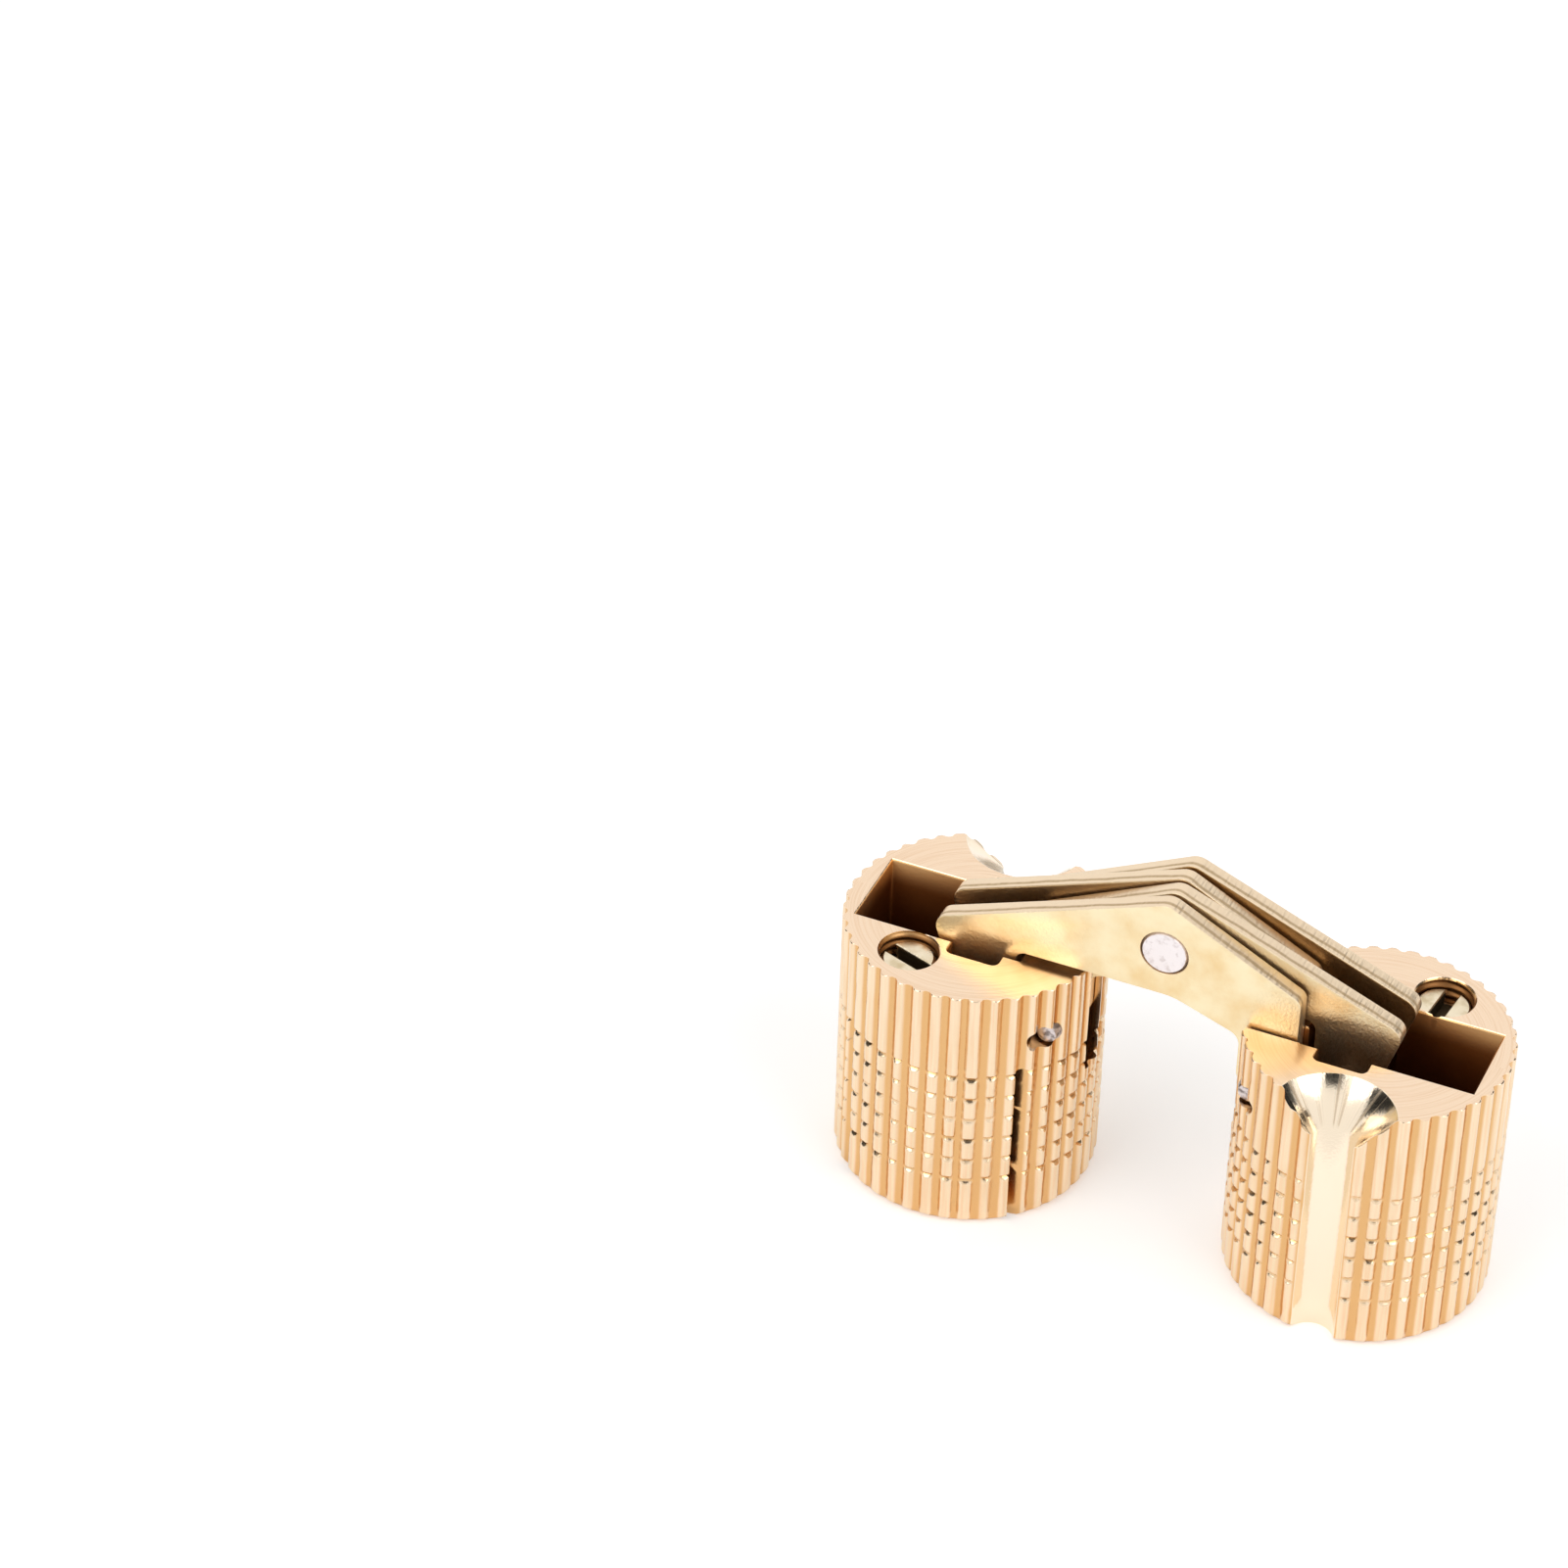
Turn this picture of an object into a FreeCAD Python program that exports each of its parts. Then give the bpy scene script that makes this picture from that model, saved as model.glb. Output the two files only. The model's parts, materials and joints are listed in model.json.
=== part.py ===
import FreeCAD, Part
import math
import os
from FreeCAD import Vector

# Invisible barrel hinge, shown fully open: two knurled brass barrels joined by four bent leaves.
# Millimetres. X runs from the left barrel to the right one, Y along the pins, Z up.
# The origin lies midway between the barrels, on the surface that both of them stand on.
# The right half is the left half turned half a turn about Z, so only the left half is drawn.

# Barrel
barrel_diameter = 14.0
barrel_height = 15.0
barrel_gap = 7.8               # between the two barrels, hinge open
end_chamfer = 0.7
recess_rim = 1.7               # flat ring round the turned cone in the far end
recess_depth = 2.2
recess_taper = 1.9             # loss of radius from the cone's mouth to its floor

# Knurl
flute_count = 42
flute_depth = 0.28
flute_width = 0.45

# Leaf pocket, and the comb that faces the other barrel
pocket_wall = 1.25             # behind the pocket
comb_depth = 3.7               # from the pocket to the outside, through the comb
slot_depth = 6.9
slot_side_gap = 0.1
pocket_side_gap = 0.15

# Leaves
leaf_thickness = 1.0
leaf_gap = 0.2
peak_rise = 3.05               # top corner above the rivet
peak_round = 0.9
tip_past_axis = 1.6            # end corner of the long arm, beyond the barrel axis
tip_drop = 1.9                 # and below the rivet
tip_round = 0.8
underside_rise = 0.4           # lower edge above the barrel faces
underside_round = 3.0
bend_offset = 0.6              # where the lower edge starts to fall, from the rivet
heel_drop = 0.9                # where the short arm meets its eye, below the faces
heel_round = 0.8
toe_reach = 1.9                # short end behind the pivot pin
toe_rise = 2.3                 # its top corner above the faces
toe_round = 0.6
toe_heel_round = 1.5
notch_gap = 0.3                # long arm to the comb
notch_round = 0.6
pivot_eye_radius = 1.15
slide_eye_radius = 1.3

# Pins and rivet
pivot_inset = 1.55             # pivot pin, from the barrel's outside
pivot_depth = 3.1              # below the face
pivot_pin_diameter = 1.3
pivot_pin_sink = 0.65          # its ends below the barrel's outside
rivet_rise = 3.0               # above the faces, hinge open
rivet_diameter = 2.6
slide_pin_diameter = 1.0
slide_inset = 1.6              # sliding pin, from the comb
running_clearance = 0.05
face_gap = 0.3                 # between the faces, hinge closed

# Guide grooves for the sliding pin
guide_depth = 0.9
guide_clearance = 0.15
guide_end_clearance = 0.25
guide_round = 0.3

# Expansion screw and the saw cut that it spreads
screw_hole_diameter = 3.0
screw_clearance = 0.06
screw_wall = 0.9               # between its hole and the outside
screw_angle = 27.0             # from straight across the pins, towards the pocket's back
screw_length = 9.0
screw_recess = 0.5
screw_chamfer = 0.25
screw_point_diameter = 1.6
screw_point_length = 1.0
screw_slot_width = 0.8
screw_slot_depth = 0.9
saw_cut_width = 0.55
saw_cut_top = 4.9              # below the face
tongue_thickness = 1.8

# Half-round groove with a countersink, for a wood screw beside the barrel
wood_screw_diameter = 2.4
countersink_diameter = 6.4
countersink_angle = 90.0

# Worked out from the sizes above
margin = 1.0                   # how far a cutting tool passes beyond the metal
corner_share = 0.49            # most of an edge that one rounded corner may take up
barrel_radius = barrel_diameter / 2
half_spacing = barrel_radius + barrel_gap / 2
recess_radius = barrel_radius - recess_rim
leaf_pitch = leaf_thickness + leaf_gap
stack_thickness = 3 * leaf_pitch + leaf_thickness   # four leaves, three steps
pocket_width = stack_thickness + 2 * pocket_side_gap
pocket_back = barrel_radius - pocket_wall           # this and the next three: from the axis
comb_face = barrel_radius - comb_depth
pivot_offset = barrel_radius - pivot_inset
slide_offset = comb_face - slide_inset
tip_reach = half_spacing + tip_past_axis            # from the rivet
pivot_pin_radius = pivot_pin_diameter / 2
pivot_pin_length = 2 * (math.sqrt(barrel_radius ** 2 - pivot_offset ** 2) - pivot_pin_sink)
rivet_radius = rivet_diameter / 2
slide_pin_radius = slide_pin_diameter / 2
slide_pin_length = pocket_width + 2 * (guide_depth - guide_end_clearance)
own_lanes = (-leaf_pitch / 2, 3 * leaf_pitch / 2)   # leaves that pivot on the left barrel
screw_reach = barrel_radius - screw_wall - screw_hole_diameter / 2
screw_offset_x = -screw_reach * math.sin(math.radians(screw_angle))
screw_offset_y = -screw_reach * math.cos(math.radians(screw_angle))
saw_cut_offset = barrel_radius - tongue_thickness - saw_cut_width / 2

# Linkage, in the left barrel's frame: distance from its axis and height above its face.
# From open to closed the left leaves turn about the left pin and the right leaves about the
# rivet; the two turns add up to half a turn and keep a constant ratio.
arm_run = half_spacing - pivot_offset
arm_rise = rivet_rise + pivot_depth
arm_length = math.hypot(arm_run, arm_rise)
arm_open = math.atan2(arm_rise, arm_run)
arm_closed = math.pi - math.asin((pivot_depth + face_gap / 2) / arm_length)
left_turn = arm_closed - arm_open
right_turn = math.pi - left_turn
rivet_closed = pivot_offset + arm_length * math.cos(arm_closed)
slide_run = slide_offset - half_spacing
slide_fall = (slide_run * math.cos(right_turn) - slide_offset + rivet_closed) / math.sin(right_turn)
slide_depth = -(rivet_rise + slide_fall)


def slide_place(share):
    # Distance of the sliding pin from the barrel axis after this share of the closing turn.
    arm_angle = arm_open + share * left_turn
    turn = share * right_turn
    rivet = pivot_offset + arm_length * math.cos(arm_angle)
    return rivet + slide_run * math.cos(turn) - slide_fall * math.sin(turn)


path_steps = 40
slide_nearest = min(slide_place(step / path_steps) for step in range(path_steps + 1))
guide_start = slide_nearest - slide_pin_radius - guide_clearance
guide_end = slide_offset + slide_pin_radius + guide_clearance


def rounded_outline(corners):
    # Closed wire in the XZ plane through corners given as (x, z, radius).
    edges = []
    starts = []
    ends = []
    arcs = []
    count = len(corners)
    for index in range(count):
        x, z, radius = corners[index]
        corner = Vector(x, 0, z)
        before = Vector(corners[index - 1][0], 0, corners[index - 1][1])
        after = Vector(corners[(index + 1) % count][0], 0, corners[(index + 1) % count][1])
        back = before - corner
        ahead = after - corner
        half_angle = back.getAngle(ahead) / 2
        room = corner_share * min(back.Length, ahead.Length)
        run = min(radius / math.tan(half_angle), room)
        back.normalize()
        ahead.normalize()
        middle = (back + ahead).normalize()
        fitted = run * math.tan(half_angle)
        starts.append(corner + back * run)
        ends.append(corner + ahead * run)
        arcs.append(corner + middle * (fitted / math.sin(half_angle) - fitted))
    for index in range(count):
        edges.append(Part.Arc(starts[index], arcs[index], ends[index]).toShape())
        edges.append(Part.LineSegment(ends[index], starts[(index + 1) % count]).toShape())
    return Part.Wire(edges)


def cross_pin(radius, length, x, z):
    # Cylinder along Y, centred on the XZ plane.
    return Part.makeCylinder(radius, length, Vector(x, -length / 2, z), Vector(0, 1, 0))


def box_between(low, high):
    size = high - low
    return Part.makeBox(size.x, size.y, size.z, low)


def ring_of(profile):
    # Solid of revolution about Z from (radius, z) points.
    points = [Vector(radius, 0, z) for radius, z in profile]
    face = Part.Face(Part.makePolygon(points + points[:1]))
    return face.revolve(Vector(0, 0, 0), Vector(0, 0, 1), 360)


def fluted_blank():
    # Turned blank, chamfered at its far end, with straight flutes cut along it.
    blank = ring_of([
        (0, 0),
        (barrel_radius - end_chamfer, 0),
        (barrel_radius, end_chamfer),
        (barrel_radius, barrel_height),
        (0, barrel_height),
    ])
    root = barrel_radius - flute_depth
    outer = barrel_radius + margin
    half = flute_width / 2 * (outer - root) / flute_depth
    corners = [Vector(root, 0, -margin), Vector(outer, half, -margin), Vector(outer, -half, -margin)]
    section = Part.Face(Part.makePolygon(corners + corners[:1]))
    flute = section.extrude(Vector(0, 0, barrel_height + 2 * margin))
    flutes = []
    for index in range(flute_count):
        cutter = flute.copy()
        cutter.rotate(Vector(0, 0, 0), Vector(0, 0, 1), (index + 0.5) * 360 / flute_count)
        flutes.append(cutter)
    return blank.cut(flutes)


def leaf_pocket():
    # Rectangular pocket with a guide groove in each long wall, right through the barrel.
    side = pocket_width / 2
    top = barrel_height + margin
    pocket = box_between(Vector(-pocket_back, -side, -margin), Vector(comb_face, side, top))
    reach = side + guide_depth
    outline = rounded_outline([
        (guide_start, -reach, guide_round),
        (guide_end, -reach, guide_round),
        (guide_end, reach, guide_round),
        (guide_start, reach, guide_round),
    ])
    outline.rotate(Vector(0, 0, 0), Vector(1, 0, 0), -90)
    outline.translate(Vector(0, 0, -margin))
    guides = Part.Face(outline).extrude(Vector(0, 0, top + margin))
    return pocket.fuse(guides)


def comb_slots():
    half = leaf_thickness / 2 + slot_side_gap
    low = barrel_height - slot_depth
    high = barrel_height + margin
    far = barrel_radius + margin
    return [
        box_between(Vector(0, lane - half, low), Vector(far, lane + half, high))
        for lane in own_lanes
    ]


def end_recess():
    slope = recess_taper / recess_depth
    return ring_of([
        (0, -margin),
        (recess_radius + slope * margin, -margin),
        (recess_radius - recess_taper, recess_depth),
        (0, recess_depth),
    ])


def screw_hole():
    foot = Vector(screw_offset_x, screw_offset_y, -margin)
    return Part.makeCylinder(screw_hole_diameter / 2, barrel_height + 2 * margin, foot)


def saw_cut():
    half = saw_cut_width / 2
    wide = barrel_radius + margin
    low = Vector(-wide, -saw_cut_offset - half, -margin)
    return box_between(low, Vector(wide, half - saw_cut_offset, barrel_height - saw_cut_top))


def wood_screw_groove():
    radius = wood_screw_diameter / 2
    place = Vector(0, barrel_radius, -margin)
    shank = Part.makeCylinder(radius, barrel_height + 2 * margin, place)
    slope = math.tan(math.radians(countersink_angle / 2))
    head = countersink_diameter / 2
    depth = (head - radius) / slope
    cone = Part.makeCone(
        radius,
        head + margin * slope,
        depth + margin,
        Vector(0, barrel_radius, barrel_height - depth),
    )
    return [shank, cone]


def left_barrel():
    body = fluted_blank()
    pivot_hole = cross_pin(
        pivot_pin_radius, 2 * barrel_diameter, pivot_offset, barrel_height - pivot_depth
    )
    for tool in (leaf_pocket(), end_recess(), saw_cut(), screw_hole(), pivot_hole):
        body = body.cut(tool)
    for tool in comb_slots() + wood_screw_groove():
        body = body.cut(tool)
    body.translate(Vector(-half_spacing, 0, 0))
    return body


def left_leaf(lane, rivet_hole_radius):
    # Leaf that pivots on the left barrel; its long arm slides in the right one.
    pivot_x = pivot_offset - half_spacing
    slide_x = half_spacing - slide_offset
    eye = slide_eye_radius
    comb_x = half_spacing - comb_face + notch_gap
    toe_x = pivot_x - toe_reach
    heel_x = pivot_x + pivot_eye_radius
    eye_low = -pivot_depth - pivot_eye_radius
    outline = rounded_outline([
        (0, rivet_rise + peak_rise, peak_round),
        (tip_reach, rivet_rise - tip_drop, tip_round),
        (slide_x + eye, -slide_depth - eye, eye),
        (slide_x - eye, -slide_depth - eye, eye),
        (comb_x, underside_rise, notch_round),
        (-bend_offset, underside_rise, underside_round),
        (heel_x, -heel_drop, heel_round),
        (heel_x, eye_low, pivot_eye_radius),
        (toe_x, eye_low, toe_heel_round),
        (toe_x, toe_rise, toe_round),
    ])
    leaf = Part.Face(outline).extrude(Vector(0, leaf_thickness, 0))
    leaf.translate(Vector(0, lane - leaf_thickness / 2, 0))
    long_pin = 2 * stack_thickness
    holes = [
        cross_pin(pivot_pin_radius + running_clearance, long_pin, pivot_x, -pivot_depth),
        cross_pin(rivet_hole_radius, long_pin, 0, rivet_rise),
        cross_pin(slide_pin_radius, long_pin, slide_x, -slide_depth),
    ]
    leaf = leaf.cut(holes)
    leaf.translate(Vector(0, 0, barrel_height))
    return leaf


def left_screw():
    radius = screw_hole_diameter / 2 - screw_clearance
    top = barrel_height - screw_recess
    low = top - screw_length
    screw = ring_of([
        (0, low),
        (screw_point_diameter / 2, low),
        (radius, low + screw_point_length),
        (radius, top - screw_chamfer),
        (radius - screw_chamfer, top),
        (0, top),
    ])
    half = screw_slot_width / 2
    slot_floor = top - screw_slot_depth
    slot = box_between(Vector(-2 * radius, -half, slot_floor), Vector(2 * radius, half, top + margin))
    screw = screw.cut(slot)
    screw.translate(Vector(screw_offset_x - half_spacing, screw_offset_y, 0))
    return screw


def half_turn(shape):
    # The matching piece of the right half.
    other = shape.copy()
    other.rotate(Vector(0, 0, 0), Vector(0, 0, 1), 180)
    return other


running_hole = rivet_radius + running_clearance
barrel = left_barrel()
screw = left_screw()
pivot_pin = cross_pin(
    pivot_pin_radius, pivot_pin_length, pivot_offset - half_spacing, barrel_height - pivot_depth
)
slide_pin = cross_pin(
    slide_pin_radius, slide_pin_length, slide_offset - half_spacing, barrel_height - slide_depth
)

nodes = {
    "left_barrel": barrel,
    "right_barrel": half_turn(barrel),
    "leaf_1_front": half_turn(left_leaf(own_lanes[1], rivet_radius)),
    "leaf_2": left_leaf(own_lanes[0], running_hole),
    "leaf_3": half_turn(left_leaf(own_lanes[0], rivet_radius)),
    "leaf_4_back": left_leaf(own_lanes[1], running_hole),
    "centre_rivet": cross_pin(rivet_radius, stack_thickness, 0, barrel_height + rivet_rise),
    "left_pivot_pin": pivot_pin,
    "right_pivot_pin": half_turn(pivot_pin),
    "left_sliding_pin": slide_pin,
    "right_sliding_pin": half_turn(slide_pin),
    "left_expansion_screw": screw,
    "right_expansion_screw": half_turn(screw),
}

os.makedirs("parts", exist_ok=True)
for name, shape in nodes.items():
    shape.exportStep(f"parts/{name}.step")

print("closing turn of the left leaves, degrees:", round(math.degrees(left_turn), 4))
print("turn of the right leaves about the rivet, degrees:", round(math.degrees(right_turn - left_turn), 4))
print("sliding pin below the face, open:", round(slide_depth, 4))
print("guide groove from", round(guide_start, 3), "to", round(guide_end, 3))
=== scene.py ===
import json
import math

import bmesh
import bpy
from mathutils import Matrix, Vector

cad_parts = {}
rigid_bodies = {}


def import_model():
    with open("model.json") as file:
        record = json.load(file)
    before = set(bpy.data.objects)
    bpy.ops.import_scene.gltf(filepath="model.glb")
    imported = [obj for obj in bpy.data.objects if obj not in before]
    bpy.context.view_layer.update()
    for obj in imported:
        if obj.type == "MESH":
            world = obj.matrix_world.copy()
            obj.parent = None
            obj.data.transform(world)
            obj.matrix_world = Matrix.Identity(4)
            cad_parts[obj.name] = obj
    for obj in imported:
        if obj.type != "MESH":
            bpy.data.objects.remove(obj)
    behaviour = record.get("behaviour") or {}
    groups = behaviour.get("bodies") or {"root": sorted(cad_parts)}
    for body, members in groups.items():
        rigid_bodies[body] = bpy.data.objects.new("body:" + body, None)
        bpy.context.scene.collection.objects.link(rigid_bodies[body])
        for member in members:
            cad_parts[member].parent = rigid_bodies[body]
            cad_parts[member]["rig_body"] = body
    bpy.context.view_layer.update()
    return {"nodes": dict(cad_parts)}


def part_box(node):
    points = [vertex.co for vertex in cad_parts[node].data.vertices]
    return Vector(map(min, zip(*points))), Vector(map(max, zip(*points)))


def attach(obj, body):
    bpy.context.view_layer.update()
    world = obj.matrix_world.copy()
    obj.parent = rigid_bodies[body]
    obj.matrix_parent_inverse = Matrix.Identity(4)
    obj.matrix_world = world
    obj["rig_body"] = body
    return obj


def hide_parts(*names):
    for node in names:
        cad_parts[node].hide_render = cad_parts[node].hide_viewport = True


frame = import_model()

mm = 0.001  # meshes are drawn in millimetres and scaled when they are placed
print("frame loaded, nodes:", len(frame["nodes"]))


class Wire:  # a node's output that takes part in sums
    def __init__(self, board, socket):
        self.board = board
        self.socket = socket

    def __getitem__(self, name):
        return Wire(self.board, self.socket.node.outputs[name])

    def __add__(self, other):
        return self.board.sum("ADD", self, other)

    def __radd__(self, other):
        return self.board.sum("ADD", other, self)

    def __sub__(self, other):
        return self.board.sum("SUBTRACT", self, other)

    def __rsub__(self, other):
        return self.board.sum("SUBTRACT", other, self)

    def __mul__(self, other):
        return self.board.sum("MULTIPLY", self, other)

    def __rmul__(self, other):
        return self.board.sum("MULTIPLY", other, self)

    def __truediv__(self, other):
        return self.board.sum("DIVIDE", self, other)

    def __rtruediv__(self, other):
        return self.board.sum("DIVIDE", other, self)

    def __pow__(self, other):
        return self.board.sum("POWER", self, other)

    def __abs__(self):
        return self.board.sum("ABSOLUTE", self)


class Board:  # a node tree, for geometry or for a material
    def __init__(self, tree):
        self.tree = tree

    def add(self, kind, sockets=None, **settings):
        node = self.tree.nodes.new(kind)
        for name, value in settings.items():
            setattr(node, name, value)
        for key, value in (sockets or {}).items():
            self.feed(node.inputs[key], value)
        return Wire(self, node.outputs[0]) if node.outputs else node

    def feed(self, socket, value):
        if isinstance(value, Wire):
            self.tree.links.new(value.socket, socket)
        else:
            socket.default_value = value

    def sum(self, operation, *values):
        return self.add("ShaderNodeMath", dict(enumerate(values)), operation=operation)

    def clamp(self, value):
        return self.add("ShaderNodeClamp", {"Value": value})

    def ramp(self, value, start, end):  # straight from 0 at start to 1 at end
        return self.clamp((value - start) / (end - start))

    def ease(self, value, start, end):  # 0 before start, 1 after end
        sockets = {"Value": value, "From Min": start, "From Max": end}
        return self.add("ShaderNodeMapRange", sockets, interpolation_type="SMOOTHSTEP")

    def reach(self, x, y):  # distance from the origin
        return self.sum("SQRT", x * x + y * y)

    def noise(self, spot, scale, detail):
        return self.add("ShaderNodeTexNoise", {"Vector": spot, "Scale": scale, "Detail": detail})

    def chance(self, value):  # the same random number for the same value
        return self.add("ShaderNodeTexWhiteNoise", {"W": value}, noise_dimensions="1D")

    def mix(self, share, first, second):  # of two colours
        sockets = {0: share, 6: first, 7: second}
        node = self.add("ShaderNodeMix", sockets, data_type="RGBA")
        return Wire(self, node.socket.node.outputs[2])


def newTree(name, inputs):
    tree = bpy.data.node_groups.new(name, "GeometryNodeTree")
    for label, kind in inputs.items():
        tree.interface.new_socket(name=label, in_out="INPUT", socket_type="NodeSocket" + kind)
    tree.interface.new_socket(name="Geometry", in_out="OUTPUT", socket_type="NodeSocketGeometry")
    return Board(tree)


def linked(name, mesh):
    piece = bpy.data.objects.new(name, mesh)
    bpy.context.scene.collection.objects.link(piece)
    return piece


def bake(piece):
    graph = bpy.context.evaluated_depsgraph_get()
    mesh = bpy.data.meshes.new_from_object(piece.evaluated_get(graph))
    piece.modifiers.clear()
    piece.data = mesh
    return piece


def grow(name, board, values):  # runs a geometry tree once and keeps the plain mesh
    piece = linked(name, bpy.data.meshes.new(name))
    modifier = piece.modifiers.new("grow", "NODES")
    modifier.node_group = board.tree
    for item in board.tree.interface.items_tree:
        if item.in_out == "INPUT":
            modifier[item.identifier] = values[item.name]
    return bake(piece)


def carve(piece, cutters, material):
    for cutter in cutters:
        cutter.data.materials.clear()
        cutter.data.materials.append(material)
        modifier = piece.modifiers.new("cut", "BOOLEAN")
        modifier.operation = "DIFFERENCE"
        modifier.solver = "MANIFOLD"
        modifier.object = cutter
    bake(piece)
    for cutter in cutters:
        bpy.data.objects.remove(cutter)


def crisp(piece, angle):  # smooth shading that breaks at sharper edges and round level faces
    shape = bmesh.new()
    shape.from_mesh(piece.data)
    for face in shape.faces:
        face.smooth = True
    for edge in shape.edges:
        level = [abs(face.normal.z) > 0.999 for face in edge.link_faces]
        edge.smooth = edge.calc_face_angle(math.pi) < math.radians(angle) and len(set(level)) == 1
    shape.to_mesh(piece.data)
    shape.free()


def outward(piece):
    shape = bmesh.new()
    shape.from_mesh(piece.data)
    bmesh.ops.recalc_face_normals(shape, faces=shape.faces)
    shape.to_mesh(piece.data)
    shape.free()


def sized(node):  # a node's corners in millimetres
    low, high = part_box(node)
    return low / mm, high / mm


def place(piece, node):
    body = frame["nodes"][node]["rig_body"]
    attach(piece, body)
    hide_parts(node)


# Sizes taken from the frame, in millimetres

barrelLow, barrelHigh = sized("left_barrel")
barrelRadius = (barrelHigh.x - barrelLow.x) / 2
barrelAxis = -(barrelLow.x + barrelHigh.x) / 2  # distance of each axis from the middle
barrelHeight = barrelHigh.z
screwLow, screwHigh = sized("left_expansion_screw")
screwX = (screwLow.x + screwHigh.x) / 2 + barrelAxis  # in the left barrel's own frame
screwY = (screwLow.y + screwHigh.y) / 2
screwRadius = (screwHigh.x - screwLow.x) / 2


# Materials

tones = {  # linear colours
    "knurl": (0.90, 0.71, 0.50, 1),
    # valley: painted shade that fills the flutes, and also the darker streaks of the drawn scratches on the
    # crests
    "valley": (0.74, 0.44, 0.19, 1),
    "face": (0.95, 0.73, 0.53, 1),
    "faceDeep": (0.90, 0.66, 0.46, 1),
    "sink": (0.94, 0.80, 0.62, 1),
    # the darker countersink tone is a painted reflection of dark surroundings, laid on as radial streaks
    "sinkDeep": (0.52, 0.38, 0.24, 1),
    # near black brown: painted shade for the pocket and the tapped hole
    "pocket": (0.18, 0.064, 0.017, 1),
    "leaf": (0.92, 0.80, 0.54, 1),
    "leafDeep": (0.84, 0.62, 0.32, 1),
    "leafEdge": (0.90, 0.72, 0.51, 1),
    "leafTorn": (0.46, 0.32, 0.17, 1),
    # painted shade for leaf faces hidden between the leaves of the stack
    "leafInner": (0.36, 0.18, 0.05, 1),
    "steel": (0.88, 0.82, 0.82, 1),
    "steelDark": (0.70, 0.63, 0.62, 1),
    "steelTorn": (0.24, 0.20, 0.19, 1),
    "screw": (0.90, 0.78, 0.58, 1),
    "screwDull": (0.66, 0.53, 0.32, 1),
    # near black: painted shade for the screw's slot
    "screwSlot": (0.11, 0.08, 0.045, 1),
    "floor": (0.92, 0.92, 0.92, 1),
    "floorLight": (0.94, 0.94, 0.94, 1),
    "flag": (0.02, 0.02, 0.02, 1),
    "flagLight": (0.03, 0.03, 0.03, 1),
}


def newMaterial(name):
    material = bpy.data.materials.new(name)
    material.use_nodes = True
    material.node_tree.nodes.clear()
    return material, Board(material.node_tree)


def finishMetal(board, colour, roughness, normal):
    sockets = {"Base Color": colour, "Metallic": 1.0, "Roughness": roughness, "Normal": normal}
    metal = board.add("ShaderNodeBsdfPrincipled", sockets)
    board.add("ShaderNodeOutputMaterial", {"Surface": metal})


def ownFrame(board, spot):  # millimetres in the left barrel's own frame, for either barrel
    split = board.add("ShaderNodeSeparateXYZ", {0: spot})
    across = barrelAxis - abs(split["X"]) / mm
    along = board.sum("SIGN", split["X"]) * split["Y"] * (-1 / mm)
    return across, along, split["Z"] / mm


barrelLook = {  # noise scales per metre
    "cloudScale": 700.0, "speckScale": 6000.0, "scratchScale": (5200.0, 5200.0, 200.0),
    # the last count below sets the painted reflection streaks round the countersink
    "lapsPerMm": 11.0, "toolMarksPerMm": 52.0, "chatterCount": 7.0,
    "roughness": 0.14, "clouding": 0.14, "insideRoughness": 0.22, "bump": 0.15,
}


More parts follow.
